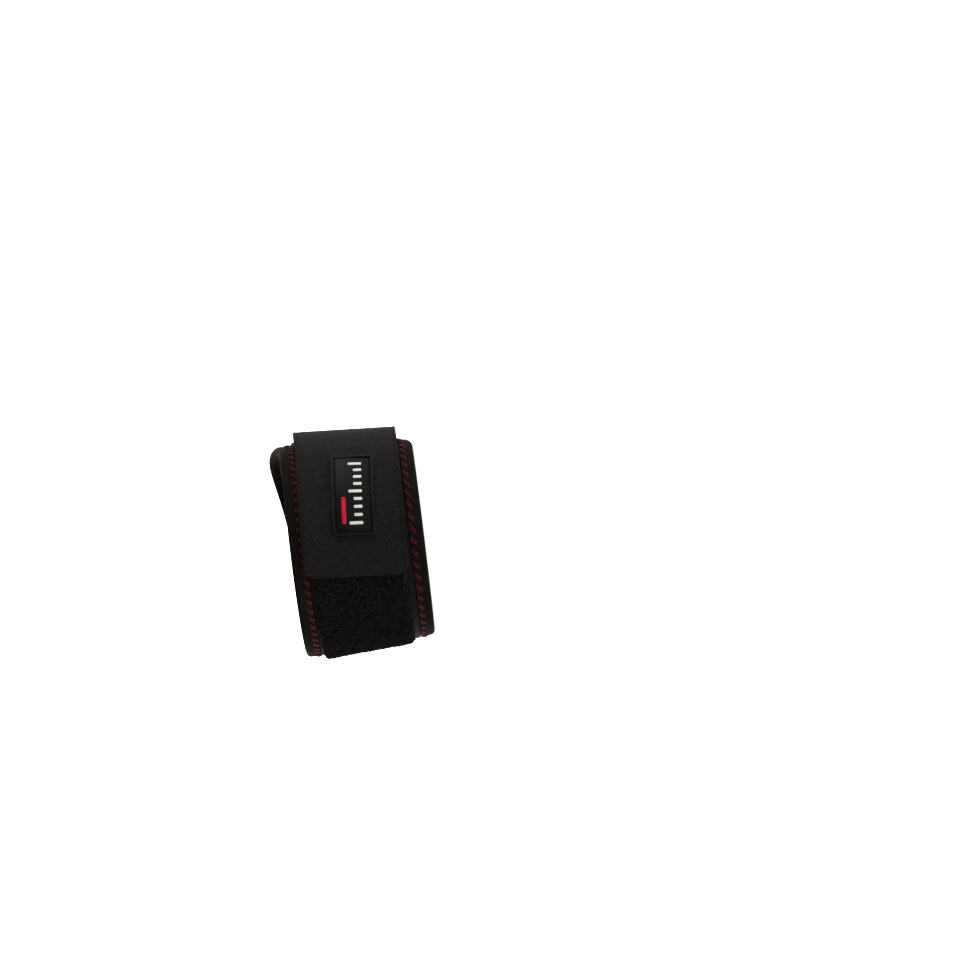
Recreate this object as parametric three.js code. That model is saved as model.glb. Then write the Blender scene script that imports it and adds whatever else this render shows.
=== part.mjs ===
import * as THREE from 'three';

// Tennis elbow brace: a neoprene strip wound round the forearm and closed by a wide hook strap.
// It stands on its wrist rim, with +Z along the forearm towards the elbow and its label facing -Y.
// Lengths are in millimetres. Angles run round the forearm in degrees: 0 is the front, 90 the side
// that the strap crosses, -90 the side opposite, and 180 the back, where the strip's ends overlap.

// Driving dimensions
const BAND_WIDTH = 64.5;
const WRIST_RIM = { across: 49.1, deep: 45.2 };
const ELBOW_RIM = { across: 53.0, deep: 48.8 };
const GAP = 0.3;

const FOAM = { thickness: 4.0, pressed: 3.4, shoulder: 1.4 };
const BINDING = { thickness: 0.8, leg: 6.9, roundWide: 1.6, roundHigh: 1.5, bend: 0.3 };
const STRIP = { outerEnd: -242, innerEnd: 178, corner: 12, pressedEnd: 13.5, fullEnd: 16 };
const LOOP = { wristEdge: 7.4, elbowEdge: 56.4, selvedge: 3.6, backing: 0.8, from: -145, to: 108 };
const PILE = { height: 3.1, lean: 0.4, crown: 1.8, shoulder: 0.8 };
const STRAP = { width: 50, thickness: 1.8, tip: -14.9, sewnEnd: 152 };
const STRAP_TIP = { corner: 6, skew: 5.2, skewLength: 15 };
const LABEL = { length: 42, width: 20, height: 1.8, field: 1.2, rim: 1.6, draft: 0.3, corner: 1.5 };
const LABEL_PLACE = { angle: 28, fromWrist: 31.5, turn: 4 };
const CHAMFER = 0.4;

// Steps between sections: round the forearm and round a corner in degrees, along the label in millimetres
const STEP = 5.3;
const CORNER_STEP = 18;
const LABEL_STEP = 3;

// Heights above the strip's inner face
const FOAM_TOP = FOAM.thickness;
const PRESSED_TOP = (FOAM.thickness + FOAM.pressed) / 2;
const PRESSED_FOOT = FOAM.thickness - PRESSED_TOP;
const RIM_TOP = PRESSED_TOP + GAP + BINDING.thickness;
const RIM_FOOT = PRESSED_FOOT - GAP - BINDING.thickness;
const LAYER_PITCH = RIM_TOP - RIM_FOOT + GAP;
const LOOP_FOOT = FOAM_TOP + GAP;
const PILE_TOP = LOOP_FOOT + PILE.height;

// The strip climbs over its own inner end as it comes up the back.
const BAND_LIFT = [
  { angle: -182, value: LAYER_PITCH },
  { angle: -145, value: 0 },
];
// Towards the crossing side the strip is pulled a little wider, and its inner end strays to the elbow.
const BAND_STRETCH = [
  { angle: 45, value: 0 },
  { angle: 60, value: 1.0 },
  { angle: 85, value: 1.8 },
];
const BAND_DRIFT = [
  { angle: 75, value: 0 },
  { angle: 120, value: 7.0 },
  { angle: 178, value: 2.5 },
];
// The strap is pressed on the pile in front, bridges the crossing side and lies on the outer end behind.
const STRAP_FOOT = [
  { angle: 52, value: PILE_TOP + GAP },
  { angle: 118, value: RIM_TOP + LAYER_PITCH + GAP },
  { angle: 126, value: RIM_TOP + LAYER_PITCH + GAP },
  { angle: 133, value: FOAM_TOP + LAYER_PITCH + GAP },
];

// The strap is fastened a little askew, so its middle drifts towards the elbow at the tip and over the
// crossing side, where it is also pulled a little wider.
const STRAP_MIDDLE = [
  { angle: -20, value: 34.0 },
  { angle: 55, value: 32.35 },
  { angle: 90, value: 33.0 },
  { angle: 116, value: BAND_WIDTH / 2 },
];
const STRAP_STRETCH = [
  { angle: 50, value: 0 },
  { angle: 90, value: 0.9 },
  { angle: 116, value: 0 },
];

// Value of a table at an angle, easing from row to row and level beyond its ends
function along(table, angle) {
  const next = table.findIndex((row) => row.angle > angle);
  if (next === 0) return table[0].value;
  if (next < 0) return table[table.length - 1].value;
  const low = table[next - 1];
  const high = table[next];
  const share = THREE.MathUtils.smoothstep(angle, low.angle, high.angle);
  return THREE.MathUtils.lerp(low.value, high.value, share);
}

// Point at an angle round the oval forearm, a height along it and a distance out from the strip's inner face
function wrap(angle, z, out) {
  const turn = THREE.MathUtils.degToRad(angle);
  const up = z / BAND_WIDTH;
  const across = THREE.MathUtils.lerp(WRIST_RIM.across, ELBOW_RIM.across, up) - RIM_TOP;
  const deep = THREE.MathUtils.lerp(WRIST_RIM.deep, ELBOW_RIM.deep, up) - RIM_TOP;
  const normal = new THREE.Vector2(deep * Math.sin(turn), -across * Math.cos(turn)).normalize();
  const x = across * Math.sin(turn) + out * normal.x;
  const y = -deep * Math.cos(turn) + out * normal.y;
  return new THREE.Vector3(x, y, z);
}

// Point on the wound strip, where width counts from the wrist rim
function onBand(angle, width, height) {
  const stretch = 1 + along(BAND_STRETCH, angle) / BAND_WIDTH;
  const z = width * stretch + along(BAND_DRIFT, angle);
  return wrap(angle, z, height + along(BAND_LIFT, angle));
}

// Length round the strip for one degree, at half its width
function lengthPerDegree(angle, height) {
  const half = 0.5;
  const before = onBand(angle - half, BAND_WIDTH / 2, height);
  return before.distanceTo(onBand(angle + half, BAND_WIDTH / 2, height));
}

const OUTER_END_SCALE = lengthPerDegree(STRIP.outerEnd, FOAM_TOP);
const INNER_END_SCALE = lengthPerDegree(STRIP.innerEnd, FOAM_TOP);

// Distances from an end at which a round corner gets a section, closer together where it turns fastest
function cornerDistances(radius) {
  const turns = steps(0, 90, CORNER_STEP).map(THREE.MathUtils.degToRad);
  return turns.map((turn) => radius * (1 - Math.cos(turn)));
}

// How far a rounded corner draws an edge in, at a distance from the end
function cornerInset(distance, radius) {
  const short = Math.max(radius - distance, 0);
  return radius - Math.sqrt(radius * radius - short * short);
}

// Even steps from one value to another, both included
function steps(from, to, size) {
  const count = Math.ceil(Math.abs(to - from) / size);
  return Array.from({ length: count + 1 }, (_, i) => from + ((to - from) * i) / count);
}

// Bar of one section carried along stations, where place turns a station and a section point into a position
function sweep(section, stations, place) {
  const shape = new THREE.Shape(section.map(([x, y]) => new THREE.Vector2(x, y)));
  const count = stations.length - 1;
  const geometry = new THREE.ExtrudeGeometry(shape, { depth: count, steps: count, bevelEnabled: false });
  const position = geometry.attributes.position;
  for (let i = 0; i < position.count; i += 1) {
    const station = stations[Math.round(position.getZ(i))];
    const point = place(station, position.getX(i), position.getY(i));
    position.setXYZ(i, point.x, point.y, point.z);
  }
  geometry.clearGroups();
  geometry.computeVertexNormals();
  return geometry;
}

function piece(name, geometry, color, roughness) {
  const material = new THREE.MeshStandardMaterial({ color, roughness, metalness: 0 });
  const mesh = new THREE.Mesh(geometry, material);
  mesh.name = name;
  return mesh;
}

// Neoprene strip: thinner where the binding presses it, with round corners at both ends
function bandGeometry() {
  const half = BAND_WIDTH / 2 - BINDING.thickness - GAP;
  const pressed = BAND_WIDTH / 2 - BINDING.leg - FOAM.shoulder / 2;
  const full = pressed - FOAM.shoulder;
  const corner = STRIP.corner - BINDING.thickness - GAP;
  const section = [
    [-half, PRESSED_FOOT], [-pressed, PRESSED_FOOT], [-full, 0],
    [full, 0], [pressed, PRESSED_FOOT], [half, PRESSED_FOOT],
    [half, PRESSED_TOP], [pressed, PRESSED_TOP], [full, FOAM_TOP],
    [-full, FOAM_TOP], [-pressed, PRESSED_TOP], [-half, PRESSED_TOP],
  ];
  const endTrim = BINDING.thickness + GAP;
  const nearEnd = [...cornerDistances(corner), STRIP.pressedEnd, STRIP.fullEnd];
  const outer = nearEnd.map((d) => ({ angle: STRIP.outerEnd + (endTrim + d) / OUTER_END_SCALE, fromEnd: d }));
  const inner = nearEnd.map((d) => ({ angle: STRIP.innerEnd - (endTrim + d) / INNER_END_SCALE, fromEnd: d }));
  const middle = steps(outer.at(-1).angle, inner.at(-1).angle, STEP).slice(1, -1);
  const stations = [
    ...outer,
    ...middle.map((angle) => ({ angle, fromEnd: STRIP.fullEnd })),
    ...inner.reverse(),
  ];
  const thin = FOAM.pressed / FOAM.thickness;
  return sweep(section, stations, ({ angle, fromEnd }, x, y) => {
    const narrow = (half - cornerInset(fromEnd, corner)) / half;
    const fullness = THREE.MathUtils.smoothstep(fromEnd, STRIP.pressedEnd, STRIP.fullEnd);
    const thickness = THREE.MathUtils.lerp(thin, 1, fullness);
    const height = FOAM_TOP / 2 + (y - FOAM_TOP / 2) * thickness;
    return onBand(angle, BAND_WIDTH / 2 + x * narrow, height);
  });
}

// Folded tape: a flat-bottomed U over the strip's edge, x measured in from the rim
function bindingSection() {
  const { thickness, leg, roundWide, roundHigh, bend } = BINDING;
  return [
    [leg, RIM_TOP], [roundWide, RIM_TOP],
    [roundWide * bend, RIM_TOP - roundHigh * bend], [0, RIM_TOP - roundHigh],
    [0, RIM_FOOT + roundHigh], [roundWide * bend, RIM_FOOT + roundHigh * bend],
    [roundWide, RIM_FOOT], [leg, RIM_FOOT],
    [leg, RIM_FOOT + thickness], [thickness, RIM_FOOT + thickness],
    [thickness, RIM_TOP - thickness], [leg, RIM_TOP - thickness],
  ];
}

function longBindingAngles() {
  const trim = STRIP.corner + GAP;
  return steps(STRIP.outerEnd + trim / OUTER_END_SCALE, STRIP.innerEnd - trim / INNER_END_SCALE, STEP);
}

function wristBindingGeometry() {
  return sweep(bindingSection(), longBindingAngles(), (angle, x, y) => onBand(angle, x, y));
}

function elbowBindingGeometry() {
  const mirrored = bindingSection().map(([x, y]) => [-x, y]);
  return sweep(mirrored, longBindingAngles(), (angle, x, y) => onBand(angle, BAND_WIDTH + x, y));
}

// Rim of one end in the flat strip, from the wrist side to the elbow side: a distance in from the end,
// a width, and the direction that points into the strip
function endRim() {
  const quarter = steps(0, 90, CORNER_STEP);
  const rim = quarter.map((turn) => {
    const a = THREE.MathUtils.degToRad(turn);
    const inward = { end: Math.sin(a), width: Math.cos(a) };
    return {
      end: STRIP.corner * (1 - inward.end),
      width: STRIP.corner * (1 - inward.width),
      inward,
    };
  });
  const elbowSide = rim.map(({ end, width, inward }) => ({
    end,
    width: BAND_WIDTH - width,
    inward: { end: inward.end, width: -inward.width },
  }));
  return [...rim, ...elbowSide.reverse()];
}

function endBindingGeometry(rim, angleAt) {
  return sweep(bindingSection(), rim, ({ end, width, inward }, x, y) =>
    onBand(angleAt(end + inward.end * x), width + inward.width * x, y));
}

// Pile tape: a raised pile between two flat selvedges
function loopGeometry() {
  const { wristEdge, elbowEdge, selvedge, backing } = LOOP;
  const low = wristEdge + selvedge;
  const high = elbowEdge - selvedge;
  const flat = LOOP_FOOT + backing;
  const shoulder = PILE_TOP - PILE.shoulder;
  const { lean, crown } = PILE;
  const section = [
    [wristEdge, LOOP_FOOT], [elbowEdge, LOOP_FOOT], [elbowEdge, flat], [high, flat],
    [high - lean, shoulder], [high - crown, PILE_TOP], [low + crown, PILE_TOP], [low + lean, shoulder],
    [low, flat], [wristEdge, flat],
  ];
  return sweep(section, steps(LOOP.from, LOOP.to, STEP), (angle, x, y) => onBand(angle, x, y));
}

// Bar section with its edges taken off, standing on height 0
function barSection(width, height) {
  const half = width / 2;
  return [
    [-half, CHAMFER], [CHAMFER - half, 0], [half - CHAMFER, 0], [half, CHAMFER],
    [half, height - CHAMFER], [half - CHAMFER, height], [CHAMFER - half, height], [-half, height - CHAMFER],
  ];
}

const STRAP_SCALE = lengthPerDegree(0, PILE_TOP + STRAP.thickness);

// Hook strap with round corners and a slanted cut at its tip
function strapGeometry() {
  const half = STRAP.width / 2;
  const slant = Math.tan(THREE.MathUtils.degToRad(STRAP_TIP.skew)) / STRAP_SCALE;
  const nearTip = [...cornerDistances(STRAP_TIP.corner), STRAP_TIP.skewLength];
  const tip = nearTip.map((d) => ({ angle: STRAP.tip + d / STRAP_SCALE, fromTip: d }));
  const rest = steps(tip.at(-1).angle, STRAP.sewnEnd, STEP).slice(1);
  const stations = [
    ...tip,
    ...rest.map((angle) => ({ angle, fromTip: (angle - STRAP.tip) * STRAP_SCALE })),
  ];
  return sweep(barSection(STRAP.width, STRAP.thickness), stations, ({ angle, fromTip }, x, y) => {
    const across = (x * (half - cornerInset(fromTip, STRAP_TIP.corner))) / half;
    const slanted = 1 - THREE.MathUtils.smoothstep(fromTip, 0, STRAP_TIP.skewLength);
    const at = angle + across * slant * slanted;
    const stretch = 1 + along(STRAP_STRETCH, at) / STRAP.width;
    return wrap(at, along(STRAP_MIDDLE, at) + across * stretch, along(STRAP_FOOT, at) + y);
  });
}

// Moulded patch with a raised rim round a sunken field, lying on the strap
function labelGeometry() {
  const half = LABEL.width / 2;
  const fieldEdge = half - LABEL.rim;
  const { draft } = LABEL;
  const section = [
    [-half, 0], [half, 0], [half, LABEL.height - CHAMFER], [half - CHAMFER, LABEL.height],
    [fieldEdge, LABEL.height], [fieldEdge - draft, LABEL.field],
    [draft - fieldEdge, LABEL.field], [-fieldEdge, LABEL.height],
    [CHAMFER - half, LABEL.height], [-half, LABEL.height - CHAMFER],
  ];
  const turn = THREE.MathUtils.degToRad(LABEL_PLACE.turn);
  const reach = LABEL.length / 2;
  const nearEnd = [0, CHAMFER, LABEL.rim, LABEL.rim + draft];
  const inside = reach - nearEnd.at(-1);
  const stations = [
    ...nearEnd.map((d) => d - reach),
    ...steps(-inside, inside, LABEL_STEP).slice(1, -1),
    ...nearEnd.map((d) => reach - d).reverse(),
  ];
  const inField = inside + draft / 2;
  return sweep(section, stations, (u, x, y) => {
    const fromEnd = reach - Math.abs(u);
    const w = (x * (half - cornerInset(fromEnd, LABEL.corner))) / half;
    const top = fromEnd < CHAMFER ? LABEL.height - CHAMFER : LABEL.height;
    const raised = y === LABEL.field && Math.abs(u) > inField ? top : Math.min(y, top);
    const s = u * Math.cos(turn) + w * Math.sin(turn);
    const width = LABEL_PLACE.fromWrist - u * Math.sin(turn) + w * Math.cos(turn);
    const angle = LABEL_PLACE.angle + s / STRAP_SCALE;
    return wrap(angle, width, along(STRAP_FOOT, angle) + STRAP.thickness + GAP + raised);
  });
}

const outerRim = endBindingGeometry(endRim().reverse(), (end) => STRIP.outerEnd + end / OUTER_END_SCALE);
const innerRim = endBindingGeometry(endRim(), (end) => STRIP.innerEnd - end / INNER_END_SCALE);

const brace = new THREE.Group();
brace.add(
  piece('band', bandGeometry(), 0x1b1c1e, 0.85),
  piece('binding_wrist', wristBindingGeometry(), 0x26282a, 0.7),
  piece('binding_elbow', elbowBindingGeometry(), 0x26282a, 0.7),
  piece('binding_outer_end', outerRim, 0x26282a, 0.7),
  piece('binding_inner_end', innerRim, 0x26282a, 0.7),
  piece('loop_panel', loopGeometry(), 0x121214, 0.95),
  piece('strap', strapGeometry(), 0x2a2b2d, 0.75),
  piece('label', labelGeometry(), 0x2e2f31, 0.55),
);

// The origin is under the middle of the brace, on the plane of the wrist rim.
const box = new THREE.Box3().setFromObject(brace);
const middle = box.getCenter(new THREE.Vector3());
brace.position.set(-middle.x, -middle.y, -box.min.z);

export default brace;
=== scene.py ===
"""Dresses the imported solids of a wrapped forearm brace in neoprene, tape, pile, rubber and thread."""

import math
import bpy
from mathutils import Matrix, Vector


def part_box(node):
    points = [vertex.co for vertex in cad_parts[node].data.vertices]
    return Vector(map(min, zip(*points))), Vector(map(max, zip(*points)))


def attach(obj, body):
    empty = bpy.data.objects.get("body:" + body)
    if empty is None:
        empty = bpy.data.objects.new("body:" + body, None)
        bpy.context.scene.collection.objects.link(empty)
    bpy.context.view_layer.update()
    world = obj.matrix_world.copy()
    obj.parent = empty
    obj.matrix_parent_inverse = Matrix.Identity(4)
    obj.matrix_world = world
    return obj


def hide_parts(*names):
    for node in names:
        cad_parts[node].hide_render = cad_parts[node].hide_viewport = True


bl_info = {
    "name": "Tennis elbow brace",
    "version": (1, 0, 0),
    "blender": (4, 5, 0),
    "location": "3D View > Sidebar > Brace",
    "description": "Dresses the packed solids of a wrapped forearm brace in cloth, pile, rubber and thread",
    "category": "Object",
}

import bmesh
import bpy
import numpy as np
from bpy.props import FloatProperty, FloatVectorProperty, IntProperty, PointerProperty
from mathutils import Matrix, Vector

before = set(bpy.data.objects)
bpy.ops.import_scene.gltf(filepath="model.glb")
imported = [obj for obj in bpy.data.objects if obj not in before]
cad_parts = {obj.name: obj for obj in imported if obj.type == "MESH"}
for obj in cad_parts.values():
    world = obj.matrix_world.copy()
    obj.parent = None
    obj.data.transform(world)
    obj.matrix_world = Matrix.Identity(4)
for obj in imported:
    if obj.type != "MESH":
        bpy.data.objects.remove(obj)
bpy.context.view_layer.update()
MM = 0.001

# The wound strip, as the solids have it. Angles run round the forearm in degrees: 0 is the front,
# 90 the side that the strap crosses and 180 the back. Widths count from the wrist rim, heights from
# the strip's inner face.
BAND_WIDTH = 64.5 * MM
WRIST_RIM = (49.1 * MM, 45.2 * MM)
ELBOW_RIM = (53.0 * MM, 48.8 * MM)
OUTER_END = -242.0
INNER_END = 178.0
END_CORNER = 12.0 * MM
FOAM_TOP = 4.0 * MM
PRESSED = 0.3 * MM
RIM_TOP = 4.8 * MM
RIM_FOOT = -0.8 * MM
LAYER_PITCH = 5.9 * MM
BINDING_LEG = 6.9 * MM
LOOP_EDGES = (7.4 * MM, 56.4 * MM)
LOOP_SPAN = (-145.0, 108.0)
LOOP_FOOT = 4.3 * MM
LOOP_TAPE_TOP = 5.1 * MM
PILE_EDGES = (10.8 * MM, 55.3 * MM)
PILE_TOP = 7.4 * MM
STRAP_SPAN = (-14.9, 152.0)
STRAP_WIDTH = 50.0 * MM
STRAP_THICK = 1.8 * MM
STRAP_SELVEDGE = 22.4 * MM
TIP_SLANT = math.tan(math.radians(5.2))
TIP_LENGTH = 15.0 * MM
LABEL_SIZE = (42.0 * MM, 20.0 * MM, 1.8 * MM)
LABEL_ANGLE = 28.0
LABEL_WIDTH = 31.5 * MM
LABEL_TURN = math.radians(4.0)
GAP = 0.3 * MM

# Tables of angle and value, eased from row to row
BAND_LIFT = [(-182, LAYER_PITCH), (-145, 0.0)]
BAND_STRETCH = [(45, 0.0), (60, 1.0 * MM), (85, 1.8 * MM)]
BAND_DRIFT = [(75, 0.0), (120, 7.0 * MM), (178, 2.5 * MM)]
STRAP_FOOT = [(52, 7.7 * MM), (118, 11.0 * MM), (126, 11.0 * MM), (133, 10.2 * MM)]
STRAP_MIDDLE = [(-20, 34.0 * MM), (55, 32.35 * MM), (90, 33.0 * MM), (116, 32.25 * MM)]
STRAP_STRETCH = [(50, 0.0), (90, 0.9 * MM), (116, 0.0)]
PILE_MATTED = [(-13.0, 0.0), (-10.5, 1.0), (54.0, 1.0), (62.0, 0.0)]


def ease(value, low, high):
    """Goes from 0 at low to 1 at high, level at both ends."""
    t = np.clip((value - low) / (high - low), 0.0, 1.0)
    return t * t * (3.0 - 2.0 * t)


def along(table, angle):
    """Value of a table of angles and values, easing from row to row."""
    value = np.full(np.shape(angle), table[0][1], dtype=float)
    for (start, before), (stop, after) in zip(table, table[1:]):
        value = value + (after - before) * ease(angle, start, stop)
    return value


def uneven(x, y, size, seed):
    """Smooth irregular bumps about a size across, mostly between -1 and 1."""
    rng = np.random.default_rng(seed)
    value = np.zeros(np.shape(x))
    waves = 18
    for _ in range(waves):
        turn, phase = rng.uniform(0.0, math.tau, 2)
        rate = math.tau / size * rng.uniform(0.55, 1.2)
        value = value + np.cos(rate * (x * math.cos(turn) + y * math.sin(turn)) + phase)
    return value / math.sqrt(waves)


def half_axes(height):
    """Half width and half depth of the strip's inner face at a height."""
    up = height / BAND_WIDTH
    return tuple(wrist + (elbow - wrist) * up - RIM_TOP for wrist, elbow in zip(WRIST_RIM, ELBOW_RIM))


# The forearm's axis, found from the two sides of the wrist binding that lie level
WRIST_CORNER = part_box("binding_wrist")[0]
AXIS_X = WRIST_CORNER.x + half_axes(BINDING_LEG)[0] + RIM_TOP
AXIS_Y = WRIST_CORNER.y + half_axes(BINDING_LEG)[1] + RIM_TOP


def wrap(angle, height, out):
    """Points at an angle round the forearm, a height along it and a distance out from the inner face."""
    turn = np.radians(angle)
    across, deep = half_axes(height)
    normal_x = deep * np.sin(turn)
    normal_y = -across * np.cos(turn)
    size = np.hypot(normal_x, normal_y)
    x = AXIS_X + across * np.sin(turn) + out * normal_x / size
    y = AXIS_Y - deep * np.cos(turn) + out * normal_y / size
    return np.stack(np.broadcast_arrays(x, y, height), axis=-1)


def arc(out):
    """Length round the strip for one degree, at a distance out from its inner face."""
    across, deep = half_axes(BAND_WIDTH / 2)
    return math.radians((across + deep) / 2 + out)


BAND_ARC = arc(FOAM_TOP / 2)
STRAP_ARC = 0.953 * MM


def on_band(flat):
    """Lays points of the flat strip (length, width, height) round the forearm."""
    angle = flat[..., 0] / BAND_ARC
    stretch = 1.0 + along(BAND_STRETCH, angle) / BAND_WIDTH
    height = flat[..., 1] * stretch + along(BAND_DRIFT, angle)
    return wrap(angle, height, flat[..., 2] + along(BAND_LIFT, angle))


def on_strap(flat):
    """Lays points of the flat strap (length from the front, offset from its middle, height) in place."""
    slanted = 1.0 - ease(flat[..., 0] - STRAP_SPAN[0] * STRAP_ARC, 0.0, TIP_LENGTH)
    angle = (flat[..., 0] + flat[..., 1] * TIP_SLANT * slanted) / STRAP_ARC
    stretch = 1.0 + along(STRAP_STRETCH, angle) / STRAP_WIDTH
    height = along(STRAP_MIDDLE, angle) + flat[..., 1] * stretch
    return wrap(angle, height, along(STRAP_FOOT, angle) + flat[..., 2])


def on_label(flat):
    """Lays points of the flat label (length and offset from its middle, height) on the strap."""
    length = flat[..., 0] * math.cos(LABEL_TURN) + flat[..., 1] * math.sin(LABEL_TURN)
    width = LABEL_WIDTH - flat[..., 0] * math.sin(LABEL_TURN) + flat[..., 1] * math.cos(LABEL_TURN)
    angle = LABEL_ANGLE + length / STRAP_ARC
    return wrap(angle, width, along(STRAP_FOOT, angle) + STRAP_THICK + GAP + flat[..., 2])


# Colours and materials

def linear(code):
    """Linear colour of an sRGB hex code."""
    parts = [int(code[i:i + 2], 16) / 255 for i in (0, 2, 4)]
    return tuple(p / 12.92 if p <= 0.04045 else ((p + 0.055) / 1.055) ** 2.4 for p in parts)


def shade(colour, factor):
    """A colour made lighter or darker, with alpha."""
    return tuple(min(part * factor, 1.0) for part in colour) + (1.0,)


def add(tree, kind, inputs=None, **settings):
    """Adds a node, makes its settings and fills its inputs with values or other nodes' sockets."""
    node = tree.nodes.new(kind)
    for name, value in settings.items():
        setattr(node, name, value)
    for name, value in (inputs or {}).items():
        if isinstance(value, bpy.types.NodeSocket):
            tree.links.new(value, node.inputs[name])
        else:
            node.inputs[name].default_value = value
    return node


def new_material(name):
    """An empty node material and its tree."""
    material = bpy.data.materials.new(name)
    material.use_nodes = True
    material.node_tree.nodes.clear()
    return material, material.node_tree


def surface(tree, inputs):
    """Ends a material in one shader with these inputs."""
    shader = add(tree, "ShaderNodeBsdfPrincipled", inputs)
    add(tree, "ShaderNodeOutputMaterial", {"Surface": shader.outputs["BSDF"]})


def maths(tree, operation, *values):
    """Result of an operation on numbers and sockets."""
    return add(tree, "ShaderNodeMath", dict(enumerate(values)), operation=operation).outputs[0]


def remap(tree, value, start, stop):
    """Carries a value evenly from one range to another, and keeps it there."""
    limits = {"From Min": start[0], "From Max": start[1], "To Min": stop[0], "To Max": stop[1]}
    return add(tree, "ShaderNodeMapRange", {"Value": value, **limits}).outputs[0]


def blend(tree, share, low, high, kind="RGBA"):
    """Mixes two colours, or two numbers."""
    mix = add(tree, "ShaderNodeMix", {"Factor": share, "A": low, "B": high}, data_type=kind)
    return mix.outputs["Result"]


def noise(tree, place, size, detail=2.0):
    """Soft irregular patches about a size across."""
    inputs = {"Vector": place, "Scale": 1 / size, "Detail": detail}
    return add(tree, "ShaderNodeTexNoise", inputs).outputs[0]


def bump(tree, height, strength, distance):
    """Normal of a face that a height from 0 to 1 raises."""
    inputs = {"Height": height, "Strength": strength, "Distance": distance}
    return add(tree, "ShaderNodeBump", inputs).outputs[0]


def wave(tree, value, period):
    """Height from 0 to 1 that rises and falls once in each period along a value."""
    swing = maths(tree, "SINE", maths(tree, "MULTIPLY", value, math.tau / period))
    return maths(tree, "MULTIPLY_ADD", swing, 0.5, 0.5)


def flat_place(tree):
    """Place on the flat piece, in metres, then its length and its width alone."""
    place = add(tree, "ShaderNodeUVMap", uv_map="flat").outputs[0]
    part = add(tree, "ShaderNodeSeparateXYZ", {0: place})
    return place, part.outputs["X"], part.outputs["Y"]


def solid_place(tree):
    """Place in the brace's own space."""
    return add(tree, "ShaderNodeTexCoord").outputs["Object"]


def neoprene(colour):
    """Foam faced with polyester jersey: matt and soft, with the columns of the knit just showing."""
    material, tree = new_material("jersey_faced_neoprene")
    place, length, width = flat_place(tree)
    # Real wales are 0.6 mm apart, drawn at 1.1 mm so that they show.
    knit = maths(tree, "MULTIPLY", wave(tree, width, 1.1 * MM), wave(tree, length, 0.9 * MM))
    mottle = maths(tree, "ADD", knit, noise(tree, place, 9 * MM, 4.0))
    tone = remap(tree, mottle, (0.2, 1.6), (0.0, 1.0))
    surface(tree, {
        "Base Color": blend(tree, tone, shade(colour, 0.62), shade(colour, 1.35)),
        "Roughness": 0.88,
        "Specular IOR Level": 0.02,
        "Sheen Weight": 0.02,
        "Sheen Roughness": 0.5,
        "Normal": bump(tree, knit, 0.5, 0.12 * MM),
    })
    return material


def binding_tape(colour):
    """Smooth knitted nylon tape: fine ribs across it and almost no shine."""
    material, tree = new_material("knitted_nylon_tape")
    place, length, _ = flat_place(tree)
    # Real ribs are 0.4 mm apart, drawn at 0.8 mm so that they show.
    rib = wave(tree, length, 0.8 * MM)
    tone = maths(tree, "MULTIPLY_ADD", rib, 0.45, noise(tree, place, 6 * MM, 5.0))
    surface(tree, {
        "Base Color": blend(tree, tone, shade(colour, 0.55), shade(colour, 1.3)),
        "Roughness": 0.62,
        "Specular IOR Level": 0.01,
        "Sheen Weight": 0.01,
        "Sheen Roughness": 0.4,
        "Normal": bump(tree, rib, 0.45, 0.08 * MM),
    })
    return material


def loop_tape(colour):
    """Woven nylon selvedge of pile tape: close ribs along the tape, faintly shiny."""
    material, tree = new_material("woven_nylon_selvedge")
    _, length, width = flat_place(tree)
    # Real warps are 0.35 mm apart, drawn at 0.7 mm so that they show.
    weave = maths(tree, "MULTIPLY", wave(tree, width, 0.7 * MM), wave(tree, length, 0.7 * MM))
    surface(tree, {
        "Base Color": blend(tree, weave, shade(colour, 0.75), shade(colour, 1.35)),
        "Roughness": 0.65,
        "Specular IOR Level": 0.06,
        "Sheen Weight": 0.01,
        "Normal": bump(tree, weave, 0.6, 0.1 * MM),
    })
    return material


def nylon_pile(colour):
    """Brushed nylon loops: near black as painted shade for the light lost between them, with lighter
    patches as painted glints, tinted warm and cool.
    """
    material, tree = new_material("brushed_nylon_pile")
    place = solid_place(tree)
    # Noise patches mix a near-black painted shade with a much lighter painted glint colour.
    glint_share = remap(tree, noise(tree, place, 1.2 * MM), (0.42, 0.68), (0.0, 1.0))
    light = shade(colour, 7.0)
    cool = tuple(part * tint for part, tint in zip(light, (0.95, 1.0, 1.06, 1.0)))
    warm = tuple(part * tint for part, tint in zip(light, (1.12, 0.96, 1.0, 1.0)))
    # The painted glints are tinted warm and cool in larger patches.
    glint_colour = blend(tree, noise(tree, place, 5 * MM), cool, warm)
    surface(tree, {
        "Base Color": blend(tree, glint_share, shade(colour, 0.3), glint_colour),
        "Roughness": 0.75,
        "Specular IOR Level": 0.1,
        "Sheen Weight": 0.01,
    })
    return material


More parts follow.
